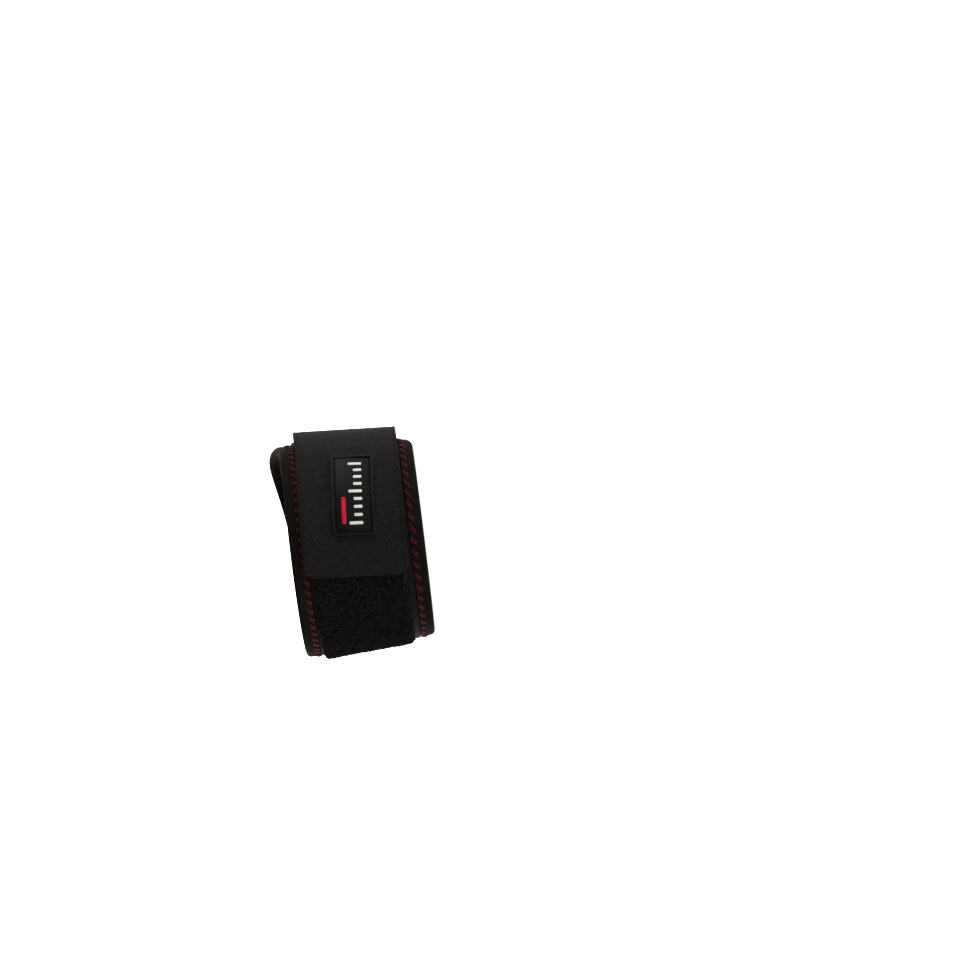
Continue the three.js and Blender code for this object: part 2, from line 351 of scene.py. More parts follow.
def herringbone_tape(colour):
    """Woven polyester tape in a herringbone twill, with plain smooth selvedges: charcoal and dry."""
    material, tree = new_material("herringbone_polyester_tape")
    place, length, width = flat_place(tree)
    # The ribs run down the tape, and at every row they turn and step half a rib aside.
    # Real ribs are 0.8 mm apart, drawn at 1.25 mm so that they show.
    row = 2.2 * MM
    spacing = 1.25 * MM
    lean = maths(tree, "PINGPONG", length, row)
    slope = maths(tree, "MULTIPLY_ADD", lean, 0.45, width)
    number = maths(tree, "FLOOR", maths(tree, "DIVIDE", length, row))
    rib = wave(tree, maths(tree, "MULTIPLY_ADD", number, spacing / 2, slope), spacing)
    twill = maths(tree, "MULTIPLY_ADD", wave(tree, length, 0.6 * MM), 0.25, rib)
    from_middle = maths(tree, "ABSOLUTE", width)
    selvedge = remap(tree, from_middle, (STRAP_SELVEDGE, STRAP_SELVEDGE + 0.4 * MM), (0.0, 1.0))
    weave = blend(tree, selvedge, twill, wave(tree, length, 0.7 * MM), "FLOAT")
    tone = maths(tree, "MULTIPLY_ADD", noise(tree, place, 4 * MM, 6.0), 0.6, weave)
    level = remap(tree, tone, (0.45, 1.35), (0.0, 1.0))
    surface(tree, {
        "Base Color": blend(tree, level, shade(colour, 0.05), shade(colour, 2.25)),
        "Roughness": 0.8,
        "Specular IOR Level": 0.05,
        "Sheen Weight": 0.01,
        "Sheen Roughness": 0.5,
        "Normal": bump(tree, weave, 0.7, 0.14 * MM),
    })
    return material


def hook_nylon(colour):
    """Cut nylon monofilament hooks: stiff, smooth and a little shiny."""
    material, tree = new_material("nylon_monofilament")
    grain = noise(tree, solid_place(tree), 1.5 * MM)
    paint = blend(tree, grain, shade(colour, 0.7), shade(colour, 1.3))
    surface(tree, {"Base Color": paint, "Roughness": 0.4, "Specular IOR Level": 0.4})
    return material


def moulded_rubber(name, colour, roughness):
    """Soft moulded rubber: a satin skin with the mould's fine grain and faint handling marks."""
    material, tree = new_material(name)
    place = solid_place(tree)
    cloud = noise(tree, place, 7 * MM, 4.0)
    surface(tree, {
        "Base Color": blend(tree, cloud, shade(colour, 0.8), shade(colour, 1.2)),
        "Roughness": remap(tree, cloud, (0.0, 1.0), (roughness - 0.06, roughness + 0.06)),
        "Specular IOR Level": 0.08,
        "Normal": bump(tree, noise(tree, place, 0.35 * MM), 0.25, 0.04 * MM),
    })
    return material


def sewing_thread(name, colour):
    """Twisted polyester thread: bright on the crown of each stitch, with random lighter and darker patches
    that are partly the thread's uneven colouring and partly painted highlight and shade.
    """
    material, tree = new_material(name)
    # Random patches from a third to almost twice the thread's colour: partly uneven colouring, partly
    # painted highlight and shade.
    dye_highlight_and_shade = noise(tree, solid_place(tree), 1.2 * MM, 3.0)
    surface(tree, {
        "Base Color": blend(tree, dye_highlight_and_shade, shade(colour, 0.35), shade(colour, 1.75)),
        "Roughness": 0.55,
        "Specular IOR Level": 0.2,
        "Sheen Weight": 0.03,
    })
    return material


def studio_floor(colour):
    """Opal acrylic of a light table: pale, matt and lit from below, with a grain too faint to see."""
    material, tree = new_material("opal_acrylic")
    grain = noise(tree, solid_place(tree), 40 * MM)
    surface(tree, {
        "Base Color": blend(tree, grain, shade(colour, 0.99), shade(colour, 1.0)),
        "Roughness": 0.9,
        "Specular IOR Level": 0.1,
        "Emission Color": (1.0, 1.0, 1.0, 1.0),
        "Emission Strength": 0.8,
    })
    return material


# Shared ways of making a piece

def slab(low, high, columns, rows):
    """Closed flat slab from corner to corner, with a grid of columns along it and rows across it."""
    bm = bmesh.new()
    bmesh.ops.create_grid(bm, x_segments=columns, y_segments=rows, size=0.5)
    made = bmesh.ops.extrude_face_region(bm, geom=bm.faces[:])
    top = [v for v in made["geom"] if isinstance(v, bmesh.types.BMVert)]
    bmesh.ops.translate(bm, verts=top, vec=(0, 0, 1))
    bmesh.ops.translate(bm, verts=bm.verts[:], vec=(0.5, 0.5, 0))
    bmesh.ops.scale(bm, verts=bm.verts[:], vec=Vector(high) - Vector(low))
    bmesh.ops.translate(bm, verts=bm.verts[:], vec=low)
    bmesh.ops.recalc_face_normals(bm, faces=bm.faces[:])
    return bm


def block(low, high):
    """Closed box from corner to corner."""
    return slab(low, high, columns=1, rows=1)


def round_edges(bm, edges, offset, segments):
    """Rounds some edges."""
    bmesh.ops.bevel(
        bm, geom=edges, offset=offset, affect="EDGES", segments=segments, profile=0.5, material=-1,
    )


def upright_edges(bm):
    """Edges that run up through the thickness."""
    return [e for e in bm.edges if abs(e.verts[0].co.z - e.verts[1].co.z) > 0.9 * e.calc_length()]


def sharp_level_edges(bm):
    """Edges round the upper and lower faces."""
    level = [e for e in bm.edges if abs(e.verts[0].co.z - e.verts[1].co.z) < 1e-7]
    return [e for e in level if e.calc_face_angle(0.0) > 0.6]


def cut_across(bm, axis, spacing):
    """Cuts a flat shape at even steps along an axis, so that it can bend there."""
    values = [v.co[axis] for v in bm.verts]
    count = math.ceil((max(values) - min(values)) / spacing)
    normal = Vector()
    normal[axis] = 1.0
    for step in np.linspace(min(values), max(values), count + 1)[1:-1]:
        whole = bm.verts[:] + bm.edges[:] + bm.faces[:]
        bmesh.ops.bisect_plane(bm, geom=whole, plane_co=normal * step, plane_no=normal)


def lay(bm, place):
    """Keeps the flat shape as the UV map, in metres, and lays the shape in its place."""
    layer = bm.loops.layers.uv.new("flat")
    for face in bm.faces:
        for loop in face.loops:
            loop[layer].uv = loop.vert.co.xy
    flat = np.array([v.co for v in bm.verts])
    for vert, point in zip(bm.verts, place(flat)):
        vert.co = point
    return bm


def make_piece(name, shape, materials):
    """Makes a piece that rides on the brace, from a bmesh or from points and faces."""
    mesh = bpy.data.meshes.new(name)
    if isinstance(shape, bmesh.types.BMesh):
        shape.to_mesh(mesh)
        shape.free()
    else:
        points, faces = shape
        mesh.from_pydata(points.tolist(), [], faces)
    for material in materials:
        mesh.materials.append(material)
    mesh.shade_smooth()
    piece = bpy.data.objects.new(name, mesh)
    bpy.context.scene.collection.objects.link(piece)
    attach(piece, "root")
    return piece


def rim(low, high, radius, spacing):
    """Points round a flat rectangle with round corners, and the direction into it at each point."""
    centres = np.array([
        (high[0] - radius, low[1] + radius),
        (high[0] - radius, high[1] - radius),
        (low[0] + radius, high[1] - radius),
        (low[0] + radius, low[1] + radius),
    ])
    points = []
    inward = []
    for k, centre in enumerate(centres):
        corner_steps = max(2, math.ceil(radius * math.pi / 2 / spacing))
        turn = np.radians(90.0 * k - 90.0 + np.linspace(0.0, 90.0, corner_steps + 1))
        out = np.stack([np.cos(turn), np.sin(turn)], axis=-1)
        points.append(centre + radius * out)
        inward.append(-out)
        run = centres[(k + 1) % 4] - centre
        count = max(2, math.ceil(np.hypot(*run) / spacing))
        share = np.arange(1, count)[:, None] / count
        points.append(points[-1][-1] + share * run)
        inward.append(np.repeat(-out[-1:], count - 1, axis=0))
    return np.concatenate(points), np.concatenate(inward)


def even_steps(points, inward, pitch):
    """Walks round a closed line in steps of about a pitch, given once or for each point of the line.

    Gives the number of steps, and a function of the step that finds the spot and the direction inward.
    """
    ring = np.concatenate([points, points[:1]])
    turned = np.concatenate([inward, inward[:1]])
    steps = np.hypot(*np.diff(ring, axis=0).T) / pitch
    walked = np.concatenate([[0.0], np.cumsum(steps)])
    count = round(walked[-1])

    def at(step):
        share = (np.asarray(step) / count * walked[-1]) % walked[-1]
        spot = np.stack([np.interp(share, walked, ring[:, k]) for k in (0, 1)], axis=-1)
        into = np.stack([np.interp(share, walked, turned[:, k]) for k in (0, 1)], axis=-1)
        return spot, into

    return count, at


def unit(vectors):
    """Vectors of length one."""
    return vectors / np.maximum(np.linalg.norm(vectors, axis=-1, keepdims=True), 1e-12)


def tubes(paths, side, radius, sections, twist=0.0):
    """Round strands along many paths, as points and faces of one mesh. A twist shows their two plies.

    Each path bends in the plane across its side.
    """
    count, steps = paths.shape[:2]
    tangent = unit(np.gradient(paths, axis=1))
    side = np.broadcast_to(side[:, None], paths.shape)
    lift = unit(np.cross(side, tangent))
    turn = np.linspace(0.0, math.tau, sections, endpoint=False)
    ply_depth = 0.16 * (twist > 0)
    twisted = twist * np.linspace(0.0, 1.0, steps)[:, None]
    ply = 1.0 + ply_depth * np.cos(2.0 * turn[None, :] - twisted)
    sideways = np.cos(turn)[:, None] * side[:, :, None]
    upwards = np.sin(turn)[:, None] * lift[:, :, None]
    rings = paths[:, :, None] + radius * ply[None, :, :, None] * (sideways + upwards)
    corner = np.arange(count * steps * sections).reshape(count, steps, sections)
    beside = np.roll(corner, -1, axis=2)
    walls = np.stack([corner[:, :-1], beside[:, :-1], beside[:, 1:], corner[:, 1:]], axis=-1)
    faces = walls.reshape(-1, 4).tolist() + corner[:, 0, ::-1].tolist() + corner[:, -1].tolist()
    return rings.reshape(-1, 3), faces


def stitches(start, stop, place, rise, radius):
    """Stitches between points of a flat piece, arched over its face and dipping in at the holes."""
    steps = 10
    share = np.linspace(0.0, 1.0, steps + 1)
    arch = np.sin(np.pi * share) ** 0.5
    flat = start[:, None] + (stop - start)[:, None] * share[None, :, None]
    flat[..., 2] += rise * arch - 0.6 * rise * (1 - arch)
    paths = place(flat)
    crown = steps // 2
    above = flat[:, crown] + np.array([0, 0, math.copysign(1 * MM, rise)])
    out = unit(place(above) - paths[:, crown])
    side = unit(np.cross(unit(paths[:, -1] - paths[:, 0]), out))
    return tubes(paths, side, radius, sections=8, twist=9.0)


def joined(parts):
    """Several sets of points and faces as one."""
    points = np.concatenate([p for p, _ in parts])
    faces = []
    base = 0
    for part_points, part_faces in parts:
        faces += [[base + corner for corner in face] for face in part_faces]
        base += len(part_points)
    return points, faces


def length_property(name, description, millimetres):
    """A length that a user can change."""
    return FloatProperty(name=name, description=description, default=millimetres * MM, unit="LENGTH")


class BraceSizes(bpy.types.PropertyGroup):
    """Sizes of the finish."""

    binding_thickness: length_property("Binding thickness", "Thickness of the folded tape", 0.8)
    zigzag_pitch: length_property("Zigzag pitch", "Length of one zigzag along the rim", 5.0)
    zigzag_near: length_property("Zigzag near side", "Distance from the rim to the nearer holes", 4.1)
    zigzag_far: length_property("Zigzag far side", "Distance from the rim to the further holes", 6.8)
    zigzag_thread: length_property("Zigzag thread", "Radius of the red thread", 0.36)
    seam_pitch: length_property("Seam pitch", "Length of one straight stitch", 3.0)
    seam_thread: length_property("Seam thread", "Radius of the black thread", 0.24)
    pile_spacing: length_property("Pile spacing", "Distance between pile loops", 0.5)
    hook_spacing: length_property("Hook spacing", "Distance between hooks", 1.25)
    scale_ticks: IntProperty(
        name="Scale ticks", description="Number of marks on the label", default=9, min=2,
    )


def colour_property(name, description, code):
    """A colour that a user can change, given as an sRGB hex code."""
    return FloatVectorProperty(
        name=name, description=description, default=linear(code),
        size=3, min=0.0, max=1.0, subtype="COLOR",
    )


class BraceColours(bpy.types.PropertyGroup):
    """Colours of the finish."""

    neoprene: colour_property("Neoprene", "Jersey face of the foam", "161617")
    binding: colour_property("Binding", "Folded rim tape", "181411")
    loop_tape: colour_property("Loop tape", "Selvedges of the pile tape", "151213")
    pile: colour_property("Pile", "Loops of the pile tape", "0e0c0d")
    strap: colour_property("Strap", "Herringbone tape", "1b1818")
    hooks: colour_property("Hooks", "Hooks under the strap", "121212")
    rubber: colour_property("Rubber", "Moulded label", "100f0d")
    # The label's rim is coloured lighter than its field as a painted highlight on its rounded edges.
    label_rim_highlight: colour_property("Label rim", "Rim of the label, lighter as a painted highlight", "1f1e1c")
    white_marks: colour_property("White marks", "Tick marks on the label", "e4e2de")
    red_mark: colour_property("Red mark", "Index mark on the label", "c81e34")
    red_thread: colour_property("Red thread", "Zigzag along the rims", "4e0818")
    black_thread: colour_property("Black thread", "Straight seams", "0f0f10")
    floor: colour_property("Floor", "Studio floor", "f4f4f3")


class BRACE_OT_band(bpy.types.Operator):
    """Makes the wound neoprene strip"""

    bl_idname = "brace.band"
    bl_label = "Neoprene band"

    def execute(self, context):
        colours = context.scene.brace_colours
        trim = 1.1 * MM
        low = (OUTER_END * BAND_ARC + trim, trim, 0.0)
        high = (INNER_END * BAND_ARC - trim, BAND_WIDTH - trim, 1.0)
        bm = slab(low, high, columns=380, rows=36)
        middle = BAND_WIDTH / 2

        def place(flat):
            length, width, layer = flat.T
            from_end = np.minimum(length - low[0], high[0] - length)
            corner = END_CORNER - trim
            short = np.maximum(corner - from_end, 0.0)
            inset = corner - np.sqrt(np.maximum(corner**2 - short**2, 0.0))
            half = middle - trim
            width = middle + (width - middle) * (half - inset) / half
            from_rim = np.minimum(np.minimum(width, BAND_WIDTH - width), from_end + trim)
            pressed = PRESSED * (1.0 - ease(from_rim, BINDING_LEG, BINDING_LEG + 3 * MM))
            ripple = 0.16 * MM * uneven(length, width, size=26 * MM, seed=3)
            height = layer * FOAM_TOP + pressed * (1.0 - 2.0 * layer)
            height = height + ripple * (1.0 - layer) * (1.0 - pressed / PRESSED)
            return on_band(np.stack([length, width, height], axis=-1))

        band = make_piece("neoprene_band", lay(bm, place), [neoprene(colours.neoprene)])
        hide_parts("band")
        return {"FINISHED"}


# Where along a pitch the zigzag is furthest in, how far its two strands lie to either side, and its
# pitch at the wrist edge and change to the elbow edge
ZIGZAG_SHARE = 0.34
ZIGZAG_TWIN = 0.1
ZIGZAG_LONGEST = 1.11
ZIGZAG_CHANGE = 0.22


def zigzag_steps(sizes):
    """Walk along the strip's rim in zigzag pitches, longer at the wrist edge than at the elbow edge."""
    low = (OUTER_END * BAND_ARC, 0.0)
    high = (INNER_END * BAND_ARC, BAND_WIDTH)
    points, inward = rim(low, high, END_CORNER, 1.0 * MM)
    pitch = sizes.zigzag_pitch * (ZIGZAG_LONGEST - ZIGZAG_CHANGE * points[:, 1] / BAND_WIDTH)
    return even_steps(points, inward, pitch)


def inboard(spot):
    """How much further in from the rim the tape's edge and its stitches lie towards the elbow edge."""
    return 0.6 * MM * spot[:, 1] / BAND_WIDTH


class BRACE_OT_binding(bpy.types.Operator):
    """Folds one length of tape round the whole rim of the strip"""

    bl_idname = "brace.binding"
    bl_label = "Binding tape"

    def execute(self, context):
        sizes = context.scene.brace_sizes
        thickness = sizes.binding_thickness
        count, at = zigzag_steps(sizes)
        per_pitch = 9
        columns = count * per_pitch
        leg_rows = 8
        fold_rows = 12
        rows = 2 * leg_rows + fold_rows
        bm = bmesh.new()
        bmesh.ops.create_grid(bm, x_segments=columns, y_segments=rows, size=0.5)
        bmesh.ops.translate(bm, verts=bm.verts[:], vec=(0.5, 0.5, 0.0))
        grid = np.array([v.co for v in bm.verts])
        column = np.rint(grid[:, 0] * columns)
        row = np.rint(grid[:, 1] * rows)
        step = column / per_pitch

        # The section runs down the inner leg, round the fold and up the outer leg.
        half = (RIM_TOP - RIM_FOOT - thickness) / 2
        centre = (RIM_TOP + RIM_FOOT) / 2
        outer_leg = np.clip((row - leg_rows - fold_rows) / leg_rows, 0, 1)
        leg = np.where(row < leg_rows, 1.0 - row / leg_rows, outer_leg)
        turn = np.pi * (np.clip((row - leg_rows) / fold_rows, 0.0, 1.0) - 0.5)
        squareness = 2.0 / 2.6
        deep = half * (1.0 - np.abs(np.cos(turn)) ** squareness)
        up = half * np.sign(np.sin(turn)) * np.abs(np.sin(turn)) ** squareness
        spot, into = at(step)
        reach = BINDING_LEG + 0.3 * MM + inboard(spot)
        inset = thickness / 2 + deep + leg * (reach - half - thickness / 2)

        # Each needle hole draws the tape in, and it puffs up between them.
        hole_reach = 0.95 * MM
        hole_depth = 0.32 * MM
        past = step % 1.0
        pull = 0.0
        for hole_at, hole_inset in ((0.0, sizes.zigzag_near), (ZIGZAG_SHARE, sizes.zigzag_far)):
            away = (past - hole_at + 0.5) % 1.0 - 0.5
            distance = np.hypot(away * sizes.zigzag_pitch, inset - hole_inset - inboard(spot))
            pull = pull + np.exp(-((distance / hole_reach) ** 2))
        puff = 0.12 * MM * np.cos(math.tau * (past - 0.7))
        puff = puff * ease(leg, 0.0, 0.3) * (1 - ease(leg, 0.6, 1.0))
        on_leg = np.sign(up) * ease(np.abs(up), 0.6 * half, half)
        up = up + on_leg * (puff - hole_depth * pull)
        edge_curl = 0.18 * MM * ease(leg, 0.86, 1.0)
        up = up - np.sign(up) * edge_curl

        flat = np.concatenate([spot + into * inset[:, None], (centre + up)[:, None]], axis=-1)
        layer = bm.loops.layers.uv.new("flat")
        tape_width = 2 * BINDING_LEG + RIM_TOP - RIM_FOOT
        for face in bm.faces:
            for loop in face.loops:
                index = loop.vert.index
                loop[layer].uv = (step[index] * sizes.zigzag_pitch, row[index] / rows * tape_width)
        for vert, point in zip(bm.verts, on_band(flat)):
            vert.co = point
        bmesh.ops.remove_doubles(bm, verts=bm.verts[:], dist=0.002 * MM)
        bmesh.ops.recalc_face_normals(bm, faces=bm.faces[:])
        tape = binding_tape(context.scene.brace_colours.binding)
        binding = make_piece("rim_binding", bm, [tape])
        wall = binding.modifiers.new("thickness", "SOLIDIFY")
        wall.thickness = thickness
        wall.offset = 0.0
        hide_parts("binding_wrist", "binding_elbow", "binding_outer_end", "binding_inner_end")
        return {"FINISHED"}


def pile_bed(length, width):
    """Height of the pile's bed: round at its edges, tufted, and raised and matted under the strap."""
    edge = np.minimum(width - PILE_EDGES[0], PILE_EDGES[1] - width)
    rise = np.sqrt(ease(edge, -0.2 * MM, 1.8 * MM))
    tufts = 0.34 * MM * uneven(length, width, size=2 * MM, seed=17)
    swell = 0.12 * MM * uneven(length, width, size=7 * MM, seed=19)
    matted = along(PILE_MATTED, length / BAND_ARC)
    relief = np.clip(tufts + swell, -0.7 * MM, 0.6 * MM) * (1.0 - 0.8 * matted)
    loop_room = 0.95 * MM
    bed = PILE_TOP - loop_room + 1.2 * MM * matted + relief
    return LOOP_TAPE_TOP + (bed - LOOP_TAPE_TOP) * rise


class BRACE_OT_loop_panel(bpy.types.Operator):
    """Makes the pile tape with its selvedges, its bed and its loops"""

    bl_idname = "brace.loop_panel"
    bl_label = "Loop panel"

    def execute(self, context):
        colours = context.scene.brace_colours
        sizes = context.scene.brace_sizes
        low = (LOOP_SPAN[0] * BAND_ARC, LOOP_EDGES[0], 0.0)
        high = (LOOP_SPAN[1] * BAND_ARC, LOOP_EDGES[1], 1.0)
        bm = slab(low, high, columns=280, rows=68)

        def place(flat):
            length, width, layer = flat.T
            top = pile_bed(length, width)
            return on_band(np.stack([length, width, LOOP_FOOT + layer * (top - LOOP_FOOT)], axis=-1))

        for face in bm.faces:
            middle = face.calc_center_median()
            face.material_index = int(PILE_EDGES[0] < middle.y < PILE_EDGES[1] and middle.z > 0.5)
        pile = nylon_pile(colours.pile)
        materials = [loop_tape(colours.loop_tape), pile]
        panel = make_piece("loop_tape", lay(bm, place), materials)
        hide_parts("loop_panel")

        rng = np.random.default_rng(7)
        # The strap hides the pile between the second field and the third.
        spans = [(-145.5, -80.0), (-80.0, -12.0), (60.0, 108.0)]
        for number, span in enumerate(spans, 1):
            self.pile_loops(number, span, rng, sizes, pile)
        return {"FINISHED"}

    def pile_loops(self, number, span, rng, sizes, material):
        """A field of small loops that stand out of the bed in every direction."""
        gap = sizes.pile_spacing
        length, width = np.meshgrid(
            np.arange(span[0] * BAND_ARC, span[1] * BAND_ARC, gap),
            np.arange(PILE_EDGES[0], PILE_EDGES[1], gap),
        )
        length = length.ravel() + rng.uniform(-0.5, 0.5, length.size) * gap
        width = width.ravel() + rng.uniform(-0.5, 0.5, width.size) * gap
        count = length.size
        heading = rng.uniform(0.0, math.tau, count)
        reach = rng.uniform(0.35, 0.75, count) * MM
        rise = rng.uniform(0.45, 1.25, count) * MM
        lean = rng.normal(0.0, 0.3, (count, 2)) * MM
        share = np.linspace(-1.0, 1.0, 5)
        arch = 1.0 - np.abs(share) ** 2.2
        along_loop = share[None] * reach[:, None]
        flat = np.stack([
            length[:, None] + np.cos(heading)[:, None] * along_loop + lean[:, :1] * arch,
            width[:, None] + np.sin(heading)[:, None] * along_loop + lean[:, 1:] * arch,
            pile_bed(length, width)[:, None] - 0.15 * MM + rise[:, None] * arch,
        ], axis=-1)
        paths = on_band(flat)
        chord = unit(paths[:, -1] - paths[:, 0])
        side = unit(np.cross(chord, paths[:, 2] - (paths[:, 0] + paths[:, -1]) / 2))
        strands = tubes(paths, side, 0.085 * MM, sections=3)
        return make_piece(f"pile_loops_{number}", strands, [material])


class BRACE_OT_strap(bpy.types.Operator):
    """Makes the hook strap, with the hooks on its inner face"""

    bl_idname = "brace.strap"
    bl_label = "Hook strap"

    def execute(self, context):
        colours = context.scene.brace_colours
        low = (STRAP_SPAN[0] * STRAP_ARC, -STRAP_WIDTH / 2, 0.0)
        high = (STRAP_SPAN[1] * STRAP_ARC, STRAP_WIDTH / 2, STRAP_THICK)
        bm = block(low, high)
        tip = [e for e in upright_edges(bm) if e.verts[0].co.x < 0]
        round_edges(bm, tip, offset=6.0 * MM, segments=8)
        round_edges(bm, sharp_level_edges(bm), offset=0.55 * MM, segments=3)
        cut_across(bm, 0, 1.5 * MM)
        cut_across(bm, 1, 2.5 * MM)

        def place(flat):
            length, offset, height = flat.T
            bulge = 0.07 * MM * uneven(length, offset, size=24 * MM, seed=5)
            edge_dip = 0.16 * MM * np.exp(-(((np.abs(offset) - STRAP_SELVEDGE) / (0.7 * MM)) ** 2))
            upper = height / STRAP_THICK
            height = height + 0.1 * MM + bulge - edge_dip * upper
            return on_strap(np.stack([length, offset, height], axis=-1))

        tape = herringbone_tape(colours.strap)
        strap = make_piece("hook_strap", lay(bm, place), [tape])
        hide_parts("strap")
        hooks = self.hooks(context)
        return {"FINISHED"}

    def hooks(self, context):
        """Rows of small hooks under the stretch of strap that stands clear of the pile."""
        gap = context.scene.brace_sizes.hook_spacing
        rng = np.random.default_rng(11)
        start, stop = 66.0, 117.0
        half = 21.5 * MM
        length, offset = np.meshgrid(
            np.arange(start * STRAP_ARC, stop * STRAP_ARC, gap),
            np.arange(-half, half + 0.1 * MM, gap),
        )
        length = length.ravel()
        offset = offset.ravel()
        heading = np.where(np.rint(offset / gap) % 2 == 0, 0.0, math.pi)
        heading = heading + rng.normal(0.0, 0.2, length.size)
        turn = np.linspace(0.0, 1.25 * math.pi, 7)
        radius = 0.26 * MM
        out = radius * (1.0 - np.cos(turn))
        down = radius * np.sin(turn) + 0.35 * MM * (turn > 0)
        flat = np.stack([
            length[:, None] + np.cos(heading)[:, None] * out,
            offset[:, None] + np.sin(heading)[:, None] * out,
            np.broadcast_to(0.2 * MM - down, (length.size, turn.size)),
        ], axis=-1)
        paths = on_strap(flat)
        side = unit(np.cross(paths[:, 1] - paths[:, 0], paths[:, 3] - paths[:, 0]))
        strands = tubes(paths, side, 0.11 * MM, sections=4)
        nylon = hook_nylon(context.scene.brace_colours.hooks)
        return make_piece("strap_hooks", strands, [nylon])


class BRACE_OT_label(bpy.types.Operator):
    """Makes the moulded label, with a plain scale of marks on its field"""

    bl_idname = "brace.label"
    bl_label = "Label"

    def execute(self, context):
        colours = context.scene.brace_colours
        reach, half, height = LABEL_SIZE[0] / 2, LABEL_SIZE[1] / 2, LABEL_SIZE[2]
        bm = block((-reach, -half, 0.0), (reach, half, height))
        top = max(bm.faces, key=lambda face: face.calc_center_median().z)
        # A rim, a sewing channel inside it and a field that stands a little below the rim
        steps = ((0.9 * MM, 0.0), (0.15 * MM, -1.0 * MM), (0.75 * MM, 0.0), (0.2 * MM, 0.7 * MM))
        for inset, depth in steps:
            bmesh.ops.inset_region(
                bm, faces=[top], thickness=inset, depth=depth, use_even_offset=True,
            )
        corner = [e for e in upright_edges(bm) if abs(e.verts[0].co.x) > reach - 0.1 * MM]
        round_edges(bm, corner, offset=1.2 * MM, segments=4)
        round_edges(bm, sharp_level_edges(bm), offset=0.26 * MM, segments=3)
        cut_across(bm, 0, 1.5 * MM)
        # The rim's upward faces take a lighter copy of the rubber: a painted highlight where the rounded
        # rim catches the light.
        rim_width = 0.95 * MM
        for face in bm.faces:
            middle = face.calc_center_median()
            on_rim = min(reach - abs(middle.x), half - abs(middle.y)) < rim_width
            face.material_index = int(on_rim and face.normal.z > 0.3)
        rubber = moulded_rubber("moulded_black_rubber", colours.rubber, 0.44)
        rim_highlight_rubber = moulded_rubber("black_rubber_painted_rim_highlight", colours.label_rim_highlight, 0.5)
        label = make_piece("label_patch", lay(bm, on_label), [rubber, rim_highlight_rubber])
        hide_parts("label")
        self.marks(context, height - 0.3 * MM)
        return {"FINISHED"}

    def marks(self, context, field):
        """A column of white ticks with every fourth one longer, and a red index bar beside it."""
        colours = context.scene.brace_colours
        count = context.scene.brace_sizes.scale_ticks
        rise = 0.3 * MM
        half_span = 15.5 * MM
        half_tick = 0.7 * MM
        foot = -4.5 * MM
        white = bmesh.new()
        for k, at in enumerate(np.linspace(-half_span, half_span, count)):
            long = 6.4 * MM if k % 4 == 0 else 4.0 * MM
            self.mark(white, (at - half_tick, foot), (at + half_tick, foot + long), field, rise)
        red = bmesh.new()
        self.mark(red, (-15.9 * MM, 3.4 * MM), (-3.0 * MM, 5.4 * MM), field, rise)
        for name, bm, colour in (
            ("label_ticks", white, colours.white_marks), ("label_index", red, colours.red_mark),
        ):
            material = moulded_rubber(f"{name}_rubber", colour, 0.55)
            make_piece(name, lay(bm, on_label), [material])

    def mark(self, bm, low, high, field, rise):
        """One raised bar."""
        bar = block((*low, field - 0.1 * MM), (*high, field + rise))
        round_edges(bar, upright_edges(bar), offset=0.4 * MM, segments=3)
        upper = [e for e in sharp_level_edges(bar) if e.verts[0].co.z > field]
        round_edges(bar, upper, offset=0.1 * MM, segments=2)
        cut_across(bar, 0, 1.2 * MM)
        mesh = bpy.data.meshes.new("mark")
        bar.to_mesh(mesh)
        bar.free()
        bm.from_mesh(mesh)
        bpy.data.meshes.remove(mesh)


